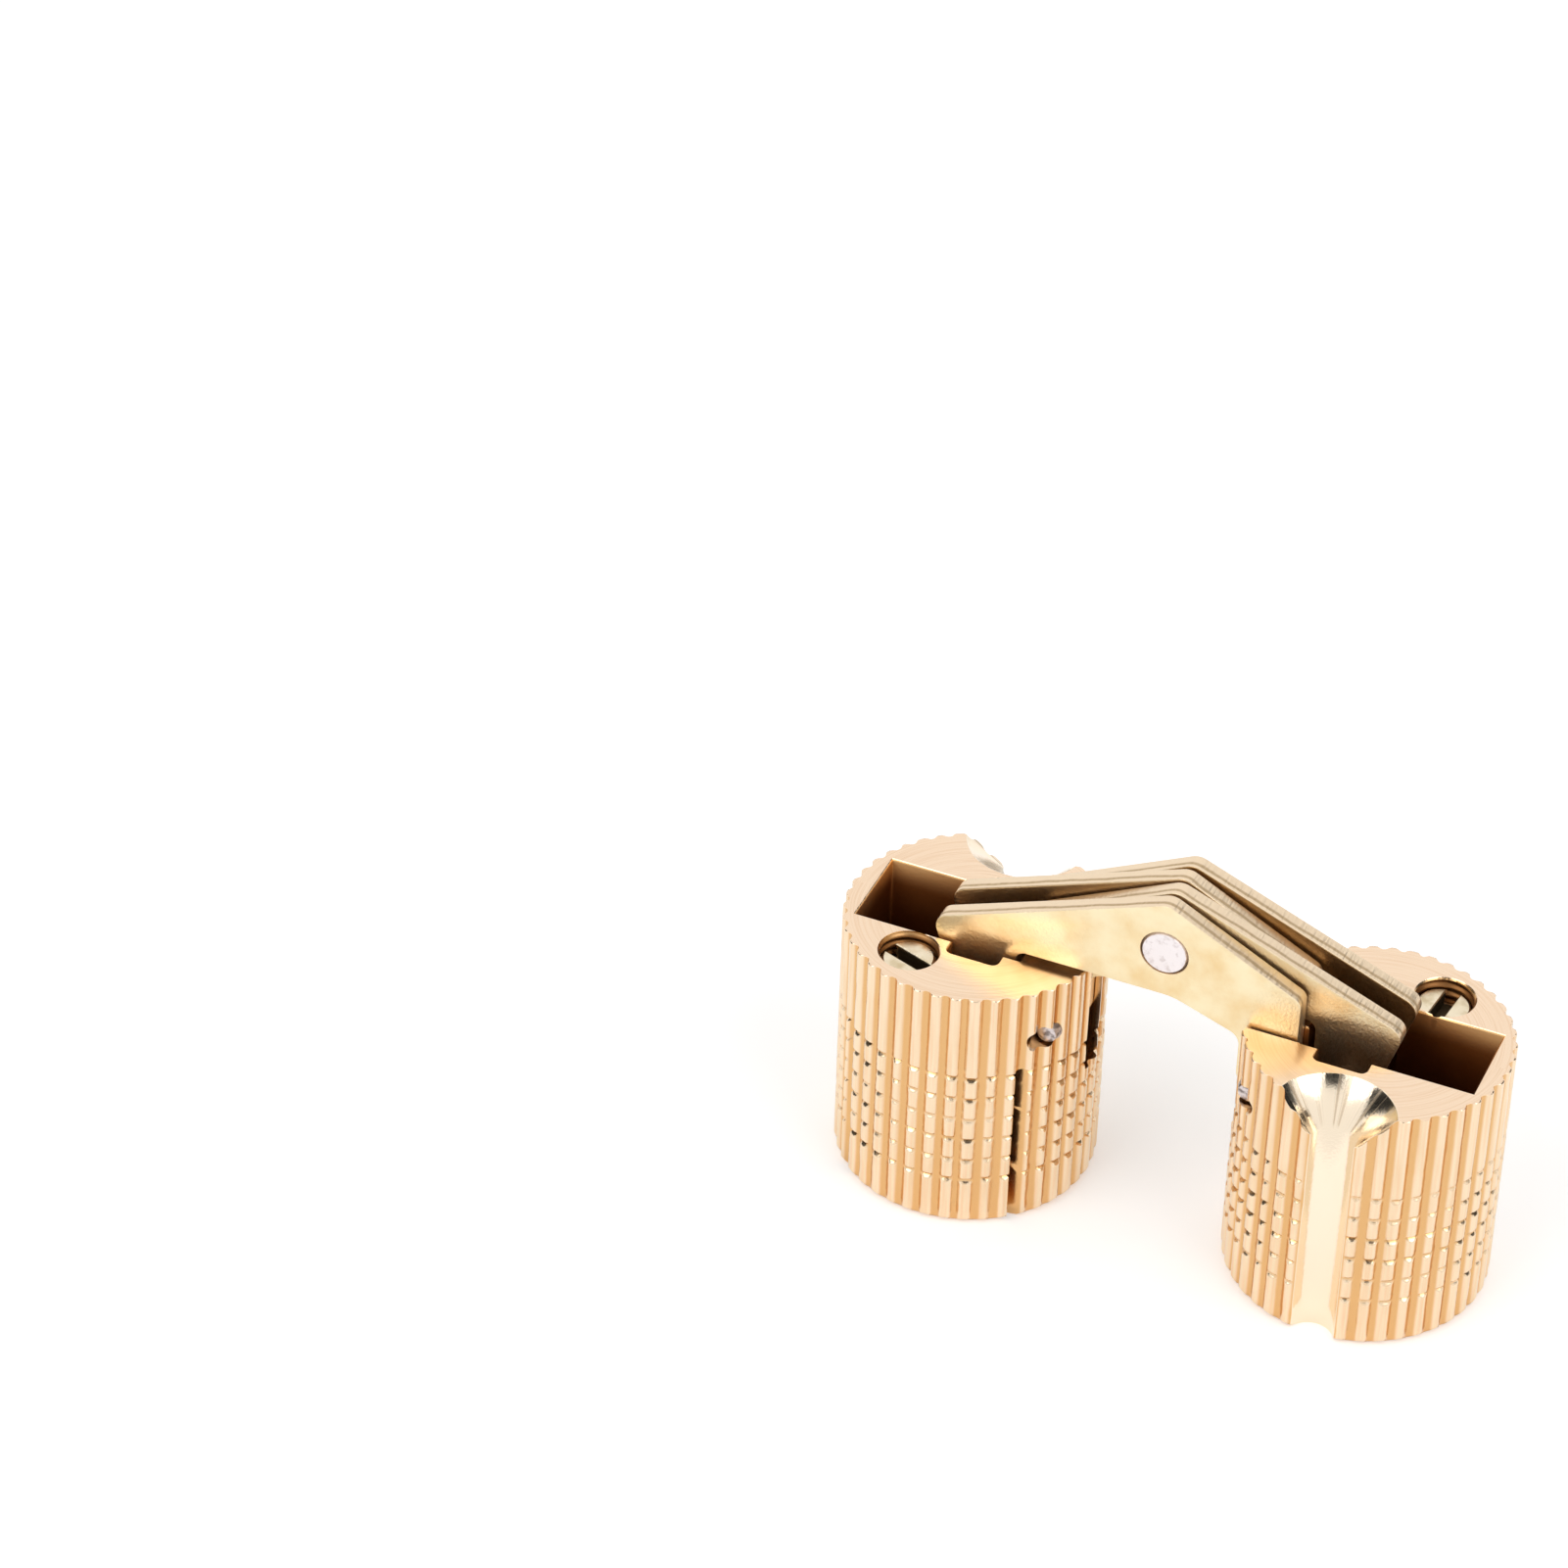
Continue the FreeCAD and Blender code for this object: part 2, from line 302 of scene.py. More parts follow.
def barrelBrass(plan, look):
    material, board = newMaterial("barrelBrass")
    spot = board.add("ShaderNodeTexCoord")["Object"]
    across, along, tall = ownFrame(board, spot)
    reach = board.reach(across, along)
    inward = barrelRadius - reach
    below = barrelHeight - tall
    face = 1 - board.ease(below, 0.01, 0.05)
    crest = 1 - board.ease(inward, 0.12, plan["fluteDepth"])

    offSink = barrelRadius - along
    cone = board.sum("MAXIMUM", plan["sinkRadius"] - below, plan["shankRadius"])
    sink = 1 - board.ease(board.reach(across, offSink) - cone, 0.01, 0.05)

    recess = plan["recessDepth"]
    deep = board.ease(inward, 0.5, 0.9) * board.ease(tall, recess - 0.1, recess + 0.1) * (1 - sink)
    # painted shade: the pocket darkens with depth below the face, and is also rougher there
    pocketShadeMask = deep * (0.45 * board.ease(below, 0.06, 0.12) + 0.55 * board.ease(below, 0.1, 1.6))
    # the tapped hole darkens with depth too, as painted shade
    hole = screwRadius + plan["screwClearance"] + plan["threadDepth"]
    bore = 1 - board.ease(board.reach(across - screwX, along - screwY), hole, hole + 0.05)
    pocketShadeMask = board.sum("MAXIMUM", pocketShadeMask, bore * board.ease(below, 0.1, 0.3) * 0.85)

    cloud = board.noise(spot, look["cloudScale"], 4.0)
    speck = board.noise(spot, look["speckScale"], 2.0)
    drawn = board.add("ShaderNodeMapping", {"Vector": spot, "Scale": look["scratchScale"]})
    scratch = board.noise(drawn, 1.0, 3.0)  # along the ridges
    # the flutes take the valley tone as painted shade; on the crests the scratch noise mixes it in as real
    # drawn streaks
    colour = board.mix(crest * (0.25 + scratch * 1.3), tones["valley"], tones["knurl"])

    whirl = board.sum("ARCTAN2", along, across)
    side = board.add("ShaderNodeSeparateXYZ", {0: spot})["X"] * 40
    lap = board.add("ShaderNodeCombineXYZ", {"X": reach * look["lapsPerMm"], "Y": whirl * 1.3, "Z": side})
    swirl = board.noise(lap, 1.0, 3.0)
    turned = board.mix(board.ease(swirl, 0.42, 0.68), tones["face"], tones["faceDeep"])
    colour = board.mix(face, colour, turned)
    # the pocket and the hole take the painted shade colour
    colour = board.mix(pocketShadeMask, colour, tones["pocket"])

    # radial dark streaks on the countersink are painted reflections of dark surroundings; they also make the
    # cone a little rougher
    fan = board.sum("ARCTAN2", across, offSink) * look["chatterCount"]
    streak = board.add("ShaderNodeTexNoise", {"W": fan, "Scale": 1.0, "Detail": 3.0}, noise_dimensions="1D")
    shank = plan["shankRadius"]  # the countersink's painted reflection streaks stop short of it
    reflectionStreaks = board.ease(streak, 0.52, 0.68) * board.ease(cone, shank + 0.05, shank + 0.3)
    colour = board.mix(sink, colour, board.mix(reflectionStreaks * 0.75, tones["sink"], tones["sinkDeep"]))

    roughness = look["roughness"] + cloud * look["clouding"] + pocketShadeMask * look["insideRoughness"]
    roughness = roughness - sink * (0.06 - reflectionStreaks * 0.15)
    marks = board.sum("SINE", reach * look["toolMarksPerMm"] + swirl * 5.0) * swirl * face
    grain = marks * 0.5 + speck * (1 - face * 0.6)
    normal = board.add("ShaderNodeBump", {"Strength": look["bump"], "Distance": 0.03 * mm, "Height": grain})
    finishMetal(board, colour, roughness, normal)
    return material


leafLook = {  # noise scales per metre
    "cloudScale": 420.0, "speckScale": 6500.0, "shearScale": (7000.0, 700.0, 7000.0),
    "roughness": 0.28, "speckling": 0.18, "tornRoughness": 0.15, "bump": 0.6,
}


def leafBrass(look):
    material, board = newMaterial("leafBrass")
    coords = board.add("ShaderNodeTexCoord")
    spot = coords["Object"]
    frontLow = sized("leaf_1_front")[0].y
    pitch = sized("leaf_2")[0].y - frontLow
    back = board.add("ShaderNodeSeparateXYZ", {0: spot})["Y"] / mm
    depth = board.sum("FRACT", (back - frontLow) / pitch + 4) * pitch  # behind the leaf's own front
    facing = board.add("ShaderNodeSeparateXYZ", {0: coords["Normal"]})["Y"]
    edge = 1 - board.ease(abs(facing), 0.25, 0.75)
    before = -frontLow - back * board.sum("SIGN", facing)  # how much of the stack lies before a face
    # painted shade: faces with more of the stack before them get darker
    stackShade = board.ease(before, 0.6, 3.0) * (1 - edge)
    stretched = board.add("ShaderNodeMapping", {"Vector": spot, "Scale": look["shearScale"]})
    shear = board.noise(stretched, 1.0, 2.0)
    cloud = board.noise(spot, look["cloudScale"], 5.0)
    speck = board.noise(spot, look["speckScale"], 3.0)
    wavy = depth + (cloud - 0.5) * 0.4
    torn = board.ease(wavy, 0.2, 0.28) * (1 - board.ease(wavy, 0.36, 0.5)) * edge  # where the blank broke off
    colour = board.mix(board.ease(cloud, 0.35, 0.75), tones["leaf"], tones["leafDeep"])
    colour = board.mix(stackShade * 0.85, colour, tones["leafInner"])
    colour = board.mix(edge, colour, tones["leafEdge"])
    colour = board.mix(torn * (0.5 + shear * 0.5), colour, tones["leafTorn"])
    roughness = look["roughness"] + speck * look["speckling"] + torn * look["tornRoughness"]
    grain = speck * (1 - edge) + shear * edge * 1.4
    normal = board.add("ShaderNodeBump", {"Strength": look["bump"], "Distance": 0.04 * mm, "Height": grain})
    finishMetal(board, colour, roughness, normal)
    return material


pinLook = {  # noise scales per metre
    "pitScale": 3200.0, "cloudScale": 900.0, "roughness": 0.28, "clouding": 0.2, "bump": 0.5,
}


def pinSteel(look):
    material, board = newMaterial("pinSteel")
    spot = board.add("ShaderNodeTexCoord")["Object"]
    pits = board.noise(spot, look["pitScale"], 4.0)
    cloud = board.noise(spot, look["cloudScale"], 3.0)
    tall = board.add("ShaderNodeSeparateXYZ", {0: spot})["Z"] / mm
    sheared = 1 - board.ease(tall, barrelHeight - 2, barrelHeight)  # the pins, not the rivet above them
    spotted = board.mix(board.ease(pits, 0.52, 0.75), tones["steel"], tones["steelDark"])
    broken = board.mix(board.ease(pits, 0.42, 0.62), tones["steelDark"], tones["steelTorn"])
    colour = board.mix(sheared, spotted, broken)
    roughness = look["roughness"] + cloud * look["clouding"]
    normal = board.add("ShaderNodeBump", {"Strength": look["bump"], "Distance": 0.05 * mm, "Height": pits})
    finishMetal(board, colour, roughness, normal)
    return material


screwLook = {  # noise scales per metre
    "cloudScale": 1400.0, "speckScale": 7000.0, "roughness": 0.2, "clouding": 0.2, "bump": 0.2,
}


def screwBrass(look):
    material, board = newMaterial("screwBrass")
    spot = board.add("ShaderNodeTexCoord")["Object"]
    across, along, tall = ownFrame(board, spot)
    reach = board.reach(across - screwX, along - screwY)
    # painted shade: the slot and whatever lies near the axis below the screw's top turn near black, and a
    # little rougher
    slot = board.ease(screwHigh.z - tall, 0.06, 0.2) * (1 - board.ease(reach, 1.12, 1.2))
    cloud = board.noise(spot, look["cloudScale"], 4.0)
    speck = board.noise(spot, look["speckScale"], 2.0)
    colour = board.mix(board.ease(cloud, 0.4, 0.75), tones["screw"], tones["screwDull"])
    colour = board.mix(slot, colour, tones["screwSlot"])
    roughness = look["roughness"] + cloud * look["clouding"] + slot * 0.2
    normal = board.add("ShaderNodeBump", {"Strength": look["bump"], "Distance": 0.03 * mm, "Height": speck})
    finishMetal(board, colour, roughness, normal)
    return material


# Geometry trees: both wrap a grid into a closed solid of revolution

def wrapped(board, columns, rows, capRows):
    sockets = {"Size X": 1.0, "Size Y": 1.0, "Vertices X": columns + 1, "Vertices Y": rows + 1}
    grid = board.add("GeometryNodeMeshGrid", sockets)
    spot = board.add("ShaderNodeSeparateXYZ", {0: board.add("GeometryNodeInputPosition")})
    turn = spot["X"] + 0.5
    row = (spot["Y"] + 0.5) * rows
    climb = board.clamp((row - capRows) / (rows - 2 * capRows))
    cap = board.clamp(board.sum("MINIMUM", row, rows - row) / capRows)  # 0 on the axis, 1 on the side
    return grid, turn, climb, cap


mergeDistance = 0.0005  # millimetres


def closeUp(board, grid, turn, radius, height, material):
    angle = turn * (2 * math.pi)
    sockets = {"X": radius * board.sum("COSINE", angle), "Y": radius * board.sum("SINE", angle), "Z": height}
    spot = board.add("ShaderNodeCombineXYZ", sockets)
    shape = board.add("GeometryNodeSetPosition", {"Geometry": grid, "Position": spot})
    shape = board.add("GeometryNodeMergeByDistance", {"Geometry": shape, "Distance": mergeDistance})
    shape = board.add("GeometryNodeRealizeInstances", {"Geometry": shape})
    shape = board.add("GeometryNodeSetMaterial", {"Geometry": shape, "Material": material})
    board.add("NodeGroupOutput", {"Geometry": shape})


def roundedOff(board, radius, distance, size):  # radius left where an end is rounded
    lost = board.clamp(1 - distance / size)
    return radius - size * (1 - board.sum("SQRT", 1 - lost * lost))


def knurlTree():
    board = newTree("knurledBar", {
        "Radius": "Float", "Height": "Float", "Ridges": "Int", "Steps Per Ridge": "Int", "Rows": "Int",
        "Flute Depth": "Float", "Flute Share": "Float", "Crown": "Float", "Lean": "Float",
        "Rings": "Int", "First Ring": "Float", "Ring Pitch": "Float",
        "Ring Depth": "Float", "Ring Width": "Float", "Ringed From": "Float", "Ringed To": "Float",
        "End Round": "Float", "Rim Round": "Float", "Wander": "Float", "Dent": "Float", "Seed": "Int",
        "Material": "Material",
    })
    given = board.add("NodeGroupInput")
    radius = given["Radius"]
    ridges = given["Ridges"]
    grid, turn, climb, cap = wrapped(board, ridges * given["Steps Per Ridge"], given["Rows"], 1)
    rim = given["Rim Round"] * 1.5
    footShare, ringShare, plainShare = 0.14, 0.84, 0.95  # of the rows, most of them where the rings are
    height = given["Ringed From"] * board.ramp(climb, 0, footShare)
    height = height + (given["Ringed To"] - given["Ringed From"]) * board.ramp(climb, footShare, ringShare)
    height = height + (given["Height"] - rim - given["Ringed To"]) * board.ramp(climb, ringShare, plainShare)
    height = height + rim * board.ramp(climb, plainShare, 1)
    count = turn * ridges + 0.5
    aside = board.sum("FRACT", count) - 0.5
    offCrest = abs(aside)  # 0 on a crest, a half in a valley
    ridge = board.sum("MODULO", board.sum("FLOOR", count), ridges)
    chance = board.chance(ridge + given["Seed"])
    land = 0.5 - given["Flute Share"] / 2 + (chance - 0.5) * given["Flute Share"] * 0.25
    dip = board.clamp((offCrest - land) / (0.5 - land))
    crown = given["Crown"] * board.clamp(offCrest / land) ** 2
    lean = given["Lean"] * (0.5 + aside * (chance * 2 - 1)) * (1 - dip)  # each crest tilts a little
    fluted = radius - given["Flute Depth"] * dip * (2 - dip) - crown - lean
    wander = (chance - 0.5) * given["Wander"]
    steps = (height - given["First Ring"] + wander) / given["Ring Pitch"]
    nearest = board.sum("MINIMUM", board.sum("MAXIMUM", board.sum("ROUND", steps), 0), given["Rings"] - 1)
    offRing = abs(steps - nearest) * given["Ring Pitch"]
    bite = board.chance(nearest * 1.7 + given["Seed"])
    ringDepth = given["Ring Depth"] * (0.85 + bite * 0.3)  # no two rings are rolled equally deep
    ringed = radius - ringDepth * board.clamp(1 - offRing / (given["Ring Width"] / 2))
    spot = board.add("ShaderNodeCombineXYZ", {"X": ridge * 3.7, "Y": height * 0.45, "Z": given["Seed"]})
    knock = board.noise(spot, 1.0, 2.0)
    worn = board.sum("MINIMUM", fluted, ringed) - board.ease(knock, 0.5, 0.8) * given["Dent"]
    ended = roundedOff(board, radius, height, given["End Round"])
    rimmed = roundedOff(board, radius, given["Height"] - height, given["Rim Round"])
    shaped = board.sum("MINIMUM", worn, board.sum("MINIMUM", ended, rimmed))
    closeUp(board, grid, turn, shaped * cap, height, given["Material"])
    return board


def rodTree():
    board = newTree("turnedRod", {
        "Radius": "Float", "Length": "Float", "Steps": "Int", "Rows": "Int",
        "Thread Depth": "Float", "Pitch": "Float",
        "Foot Loss": "Float", "Foot Length": "Float", "Head Loss": "Float", "Head Length": "Float",
        "Dome": "Float", "Material": "Material",
    })
    given = board.add("NodeGroupInput")
    radius = given["Radius"]
    capRows = 4
    grid, turn, climb, cap = wrapped(board, given["Steps"], given["Rows"], capRows)
    height = climb * given["Length"]
    phase = board.sum("FRACT", height / given["Pitch"] - turn + 1)
    flank = board.clamp(abs(phase - 0.5) * 3 - 0.25)  # flat crest, sloping flanks, flat root
    threaded = radius - given["Thread Depth"] * flank
    foot = radius - given["Foot Loss"] * board.clamp(1 - height / given["Foot Length"])
    head = radius - given["Head Loss"] * board.clamp(1 - (given["Length"] - height) / given["Head Length"])
    shaped = board.sum("MINIMUM", threaded, board.sum("MINIMUM", foot, head))
    upper = board.sum("GREATER_THAN", climb, 0.5)
    bulge = given["Dome"] * (1 - cap * cap) * (upper * 2 - 1)
    closeUp(board, grid, turn, shaped * cap, height + bulge, given["Material"])
    return board


knurl = knurlTree()
rod = rodTree()
print("geometry trees made")


# Cutters, in the left barrel's own millimetres: its axis upright at the origin

cornerSteps = 5


def outline(low, high, corner, grown):  # rectangle, its corners rounded, wider all round by grown
    points = []
    for quarter, (sideX, sideY) in enumerate(((1, 1), (-1, 1), (-1, -1), (1, -1))):
        x = (high[0] if sideX > 0 else low[0]) - sideX * corner
        y = (high[1] if sideY > 0 else low[1]) - sideY * corner
        if not corner:
            points.append((x + sideX * grown, y + sideY * grown))
            continue
        for step in range(cornerSteps + 1):
            angle = math.radians(90 * (quarter + step / cornerSteps))
            points.append((x + (corner + grown) * math.cos(angle), y + (corner + grown) * math.sin(angle)))
    return points


def slab(low, high, mouth=None, flare=0.0, corner=0.0):  # upright prism, wider by flare at its mouth's height
    levels = [(low[2], 0.0), (high[2], 0.0)]
    if mouth is not None:
        levels = [(low[2], 0.0), (mouth - flare, 0.0), (high[2], high[2] - mouth + flare)]
    vertices = []
    for level, grown in levels:
        ring = outline(low, high, corner, grown)
        vertices.extend((x, y, level) for x, y in ring)
    count = len(ring)
    faces = [tuple(range(count))[::-1], tuple(range(len(vertices) - count, len(vertices)))]
    for base in range(0, len(vertices) - count, count):
        for side in range(count):
            after = (side + 1) % count
            faces.append((base + side, base + after, base + count + after, base + count + side))
    mesh = bpy.data.meshes.new("slab")
    mesh.from_pydata(vertices, [], faces)
    return linked("slab", mesh)


def spun(profile, spot=(0, 0, 0), steps=96):  # solid from (radius, height) points, the ends on the axis
    vertices = []
    faces = []
    for radius, height in profile[1:-1]:
        for step in range(steps):
            angle = 2 * math.pi * step / steps
            x, y = radius * math.cos(angle), radius * math.sin(angle)
            vertices.append((spot[0] + x, spot[1] + y, spot[2] + height))
    rings = len(profile) - 2
    foot = len(vertices)
    vertices.append((spot[0], spot[1], spot[2] + profile[0][1]))
    vertices.append((spot[0], spot[1], spot[2] + profile[-1][1]))
    for step in range(steps):
        after = (step + 1) % steps
        faces.append((after, step, foot))
        faces.append(((rings - 1) * steps + step, (rings - 1) * steps + after, foot + 1))
        for ring in range(rings - 1):
            base = ring * steps
            faces.append((base + step, base + after, base + steps + after, base + steps + step))
    mesh = bpy.data.meshes.new("spun")
    mesh.from_pydata(vertices, [], faces)
    return linked("spun", mesh)


barrelPlan = {  # millimetres
    "ridges": 42, "stepsPerRidge": 10, "rows": 176,
    "fluteDepth": 0.26, "fluteShare": 0.60, "crown": 0.04, "lean": 0.07,
    "rings": 6, "ringPitch": 1.36, "firstRing": 3.0, "ringDepth": 0.24, "ringWidth": 0.50,
    "ringedFrom": 2.4, "ringedTo": 10.4,
    "endRound": 0.7, "rimRound": 0.14, "wander": 0.16, "dent": 0.05,
    "pocketBack": 5.75, "combFace": 3.3, "sideGap": 0.15, "slotGap": 0.1, "slotDepth": 6.9, "edge": 0.1,
    "guideStart": -0.378, "guideEnd": 2.35, "guideDepth": 0.9, "guideRound": 0.3,
    "recessRim": 1.7, "recessDepth": 2.2, "recessTaper": 1.9,
    "sawWidth": 0.55, "sawTop": 4.9, "tongue": 1.8,
    "screwClearance": 0.06, "threadPitch": 0.5, "threadDepth": 0.14, "tapSteps": 48, "tapRows": 400,
    "shankRadius": 1.2, "sinkRadius": 3.2,
}


materials = {
    "barrel_brass": barrelBrass(barrelPlan, barrelLook),
    "leaf_brass": leafBrass(leafLook),
    "pin_steel": pinSteel(pinLook),
    "screw_brass": screwBrass(screwLook),
}
print("materials made:", len(materials))


def barrelCutters(plan):
    radius, height = barrelRadius, barrelHeight
    over = height + 1.0
    edge = plan["edge"]
    front = sized("leaf_1_front")[0].y
    side = -front + plan["sideGap"]
    far = radius + 1.0
    cutters = [slab((-plan["pocketBack"], -side, -1), (plan["combFace"], side, over), height, edge)]
    reach = side + plan["guideDepth"]
    guide = (plan["guideStart"], -reach, -1), (plan["guideEnd"], reach, over)
    cutters.append(slab(*guide, height, edge, plan["guideRound"]))
    for leaf in ("leaf_2", "leaf_4_back"):
        low, high = sized(leaf)
        start = (0, low.y - plan["slotGap"], height - plan["slotDepth"])
        cutters.append(slab(start, (far, high.y + plan["slotGap"], over), height, edge))
    mouth = radius - plan["recessRim"]
    slope = plan["recessTaper"] / plan["recessDepth"]
    depth = plan["recessDepth"]
    cutters.append(spun([(0, -1), (mouth + slope, -1), (mouth - plan["recessTaper"], depth), (0, depth)]))
    saw = radius - plan["tongue"] - plan["sawWidth"]
    cutters.append(slab((-far, -saw - plan["sawWidth"], -1), (far, -saw, height - plan["sawTop"])))
    spot = Vector((screwX, screwY, 0))
    hole = screwRadius + plan["screwClearance"]
    tap = grow("tap", rod, {
        "Radius": hole + plan["threadDepth"], "Length": over + 1,
        "Steps": plan["tapSteps"], "Rows": plan["tapRows"],
        "Thread Depth": plan["threadDepth"], "Pitch": plan["threadPitch"],
        "Foot Loss": 0.0, "Foot Length": 1.0, "Head Loss": 0.0, "Head Length": 1.0,
        "Dome": 0.0, "Material": materials["barrel_brass"],
    })
    tap.data.transform(Matrix.Translation(spot - Vector((0, 0, 1))))
    cutters.append(tap)
    lip = hole + 2 * edge
    profile = [(0, height - edge), (hole, height - edge), (lip, height + edge), (0, height + edge)]
    cutters.append(spun(profile, spot))
    low, high = sized("left_pivot_pin")
    pinRadius = (high.z - low.z) / 2
    bore = spun([(0, -far), (pinRadius, -far), (pinRadius, far), (0, far)])
    bore.data.transform(Matrix.Rotation(math.radians(90), 4, "X"))
    bore.data.transform(Matrix.Translation(((low.x + high.x) / 2 + barrelAxis, 0, (low.z + high.z) / 2)))
    cutters.append(bore)
    shank, sink = plan["shankRadius"], plan["sinkRadius"]
    rise = sink - shank
    profile = [(0, -1), (shank, -1), (shank, height - rise), (sink + 1, over), (0, over)]
    cutters.append(spun(profile, (0, radius, 0)))
    for cutter in cutters:
        outward(cutter)
    return cutters


def makeBarrel(name, node, seed, turned):
    plan = barrelPlan
    barrel = grow(name, knurl, {
        "Radius": barrelRadius, "Height": barrelHeight, "Ridges": plan["ridges"],
        "Steps Per Ridge": plan["stepsPerRidge"], "Rows": plan["rows"],
        "Flute Depth": plan["fluteDepth"], "Flute Share": plan["fluteShare"],
        "Crown": plan["crown"], "Lean": plan["lean"],
        "Rings": plan["rings"], "First Ring": plan["firstRing"], "Ring Pitch": plan["ringPitch"],
        "Ring Depth": plan["ringDepth"], "Ring Width": plan["ringWidth"],
        "Ringed From": plan["ringedFrom"], "Ringed To": plan["ringedTo"],
        "End Round": plan["endRound"], "Rim Round": plan["rimRound"],
        "Wander": plan["wander"], "Dent": plan["dent"], "Seed": seed,
        "Material": materials["barrel_brass"],
    })
    outward(barrel)
    carve(barrel, barrelCutters(plan), materials["barrel_brass"])
    crisp(barrel, 50)
    barrel.data.transform(Matrix.Translation((-barrelAxis, 0, 0)))
    if turned:
        barrel.data.transform(Matrix.Rotation(math.pi, 4, "Z"))
    barrel.data.transform(Matrix.Scale(mm, 4))
    place(barrel, node)
    print(name, "faces:", len(barrel.data.polygons))


makeBarrel("leftBarrel", "left_barrel", 3, False)
makeBarrel("rightBarrel", "right_barrel", 11, True)


# Leaves: the outline is the frame's, with its sheared edges rolled over

leafPlan = {"roll": 0.09, "rollSteps": 3}  # millimetres


def makeLeaf(node):
    shape = bmesh.new()
    shape.from_mesh(frame["nodes"][node].data)
    bmesh.ops.remove_doubles(shape, verts=shape.verts, dist=0.001 * mm)
    bmesh.ops.dissolve_limit(shape, angle_limit=math.radians(1), verts=shape.verts, edges=shape.edges)
    mesh = bpy.data.meshes.new(node)
    shape.to_mesh(mesh)
    shape.free()
    mesh.materials.append(materials["leaf_brass"])
    leaf = linked("visual_" + node, mesh)
    roll = leaf.modifiers.new("roll", "BEVEL")
    roll.width = leafPlan["roll"] * mm
    roll.segments = leafPlan["rollSteps"]
    roll.limit_method = "ANGLE"
    roll.angle_limit = math.radians(40)
    bake(leaf)
    crisp(leaf, 35)
    place(leaf, node)


for leafNode in ("leaf_1_front", "leaf_2", "leaf_3", "leaf_4_back"):
    makeLeaf(leafNode)
print("leaves made")


# Pins and rivet lie along Y

pinPlan = {"chamfer": 0.14, "dome": 0.05, "steps": 40, "rows": 26}  # millimetres


def makePin(node):
    low, high = sized(node)
    radius = (high.z - low.z) / 2
    length = high.y - low.y
    pin = grow("visual_" + node, rod, {
        "Radius": radius, "Length": length, "Steps": pinPlan["steps"], "Rows": pinPlan["rows"],
        "Thread Depth": 0.0, "Pitch": 1.0,
        "Foot Loss": pinPlan["chamfer"], "Foot Length": pinPlan["chamfer"],
        "Head Loss": pinPlan["chamfer"], "Head Length": pinPlan["chamfer"],
        "Dome": pinPlan["dome"], "Material": materials["pin_steel"],
    })
    pin.data.transform(Matrix.Rotation(math.radians(-90), 4, "X"))
    pin.data.transform(Matrix.Translation(((low.x + high.x) / 2, low.y, (low.z + high.z) / 2)))
    pin.data.transform(Matrix.Scale(mm, 4))
    outward(pin)
    crisp(pin, 35)
    place(pin, node)


for pinNode in ("centre_rivet", "left_pivot_pin", "right_pivot_pin", "left_sliding_pin", "right_sliding_pin"):
    makePin(pinNode)
print("pins made")


# Expansion screws

screwPlan = {  # millimetres, and the slot's turn in degrees
    "threadDepth": 0.24, "pitch": 0.5, "pointLoss": 0.64, "pointLength": 1.0, "chamfer": 0.14,
    "slotWidth": 0.8, "slotDepth": 0.9, "slotEdge": 0.05, "leftTurn": -19, "rightTurn": 84,
    "steps": 56, "rows": 190,
}


def makeScrew(node, turn):
    plan = screwPlan
    low, high = sized(node)
    radius = (high.x - low.x) / 2
    length = high.z - low.z
    screw = grow("visual_" + node, rod, {
        "Radius": radius, "Length": length, "Steps": plan["steps"], "Rows": plan["rows"],
        "Thread Depth": plan["threadDepth"], "Pitch": plan["pitch"],
        "Foot Loss": plan["pointLoss"], "Foot Length": plan["pointLength"],
        "Head Loss": plan["chamfer"], "Head Length": plan["chamfer"],
        "Dome": 0.0, "Material": materials["screw_brass"],
    })
    half = plan["slotWidth"] / 2
    floorLevel = length - plan["slotDepth"]
    slot = slab((-2 * radius, -half, floorLevel), (2 * radius, half, length + 1), length, plan["slotEdge"])
    outward(screw)
    outward(slot)
    carve(screw, [slot], materials["screw_brass"])
    crisp(screw, 35)
    screw.data.transform(Matrix.Rotation(math.radians(turn), 4, "Z"))
    screw.data.transform(Matrix.Translation(((low.x + high.x) / 2, (low.y + high.y) / 2, low.z)))
    screw.data.transform(Matrix.Scale(mm, 4))
    place(screw, node)


makeScrew("left_expansion_screw", screwPlan["leftTurn"])
makeScrew("right_expansion_screw", screwPlan["rightTurn"])
print("screws made")


# Floor, light and camera

stagePlan = {"floorSize": 1.2, "ambient": 0.72, "floorGlow": 0.37}  # metres, strengths
lampPlan = {  # azimuth and elevation in degrees, distance and size in metres, watts
    "keyLight": (-32, 48, 0.5, 0.30, 0.46),
    "fillLight": (70, 46, 0.5, 0.30, 0.46),
}
flagPlan = {  # dark cards that the metal mirrors: azimuth, elevation, distance, width, height
    "frontFlag": (22, 56, 0.6, 0.26, 0.34),
    "leftFlag": (-80, 27, 0.6, 0.50, 0.28),
    "rightFlag": (127, 27, 0.6, 0.50, 0.28),
}


def seenWhite(board):  # 1 for the rays that show the background
    path = board.add("ShaderNodeLightPath")
    return board.clamp(path["Is Camera Ray"] + path["Is Glossy Ray"] + path["Is Transmission Ray"])


def cloudy(board, scale, first, second):
    spot = board.add("ShaderNodeTexCoord")["Object"]
    return board.mix(board.noise(spot, scale, 2.0), first, second)


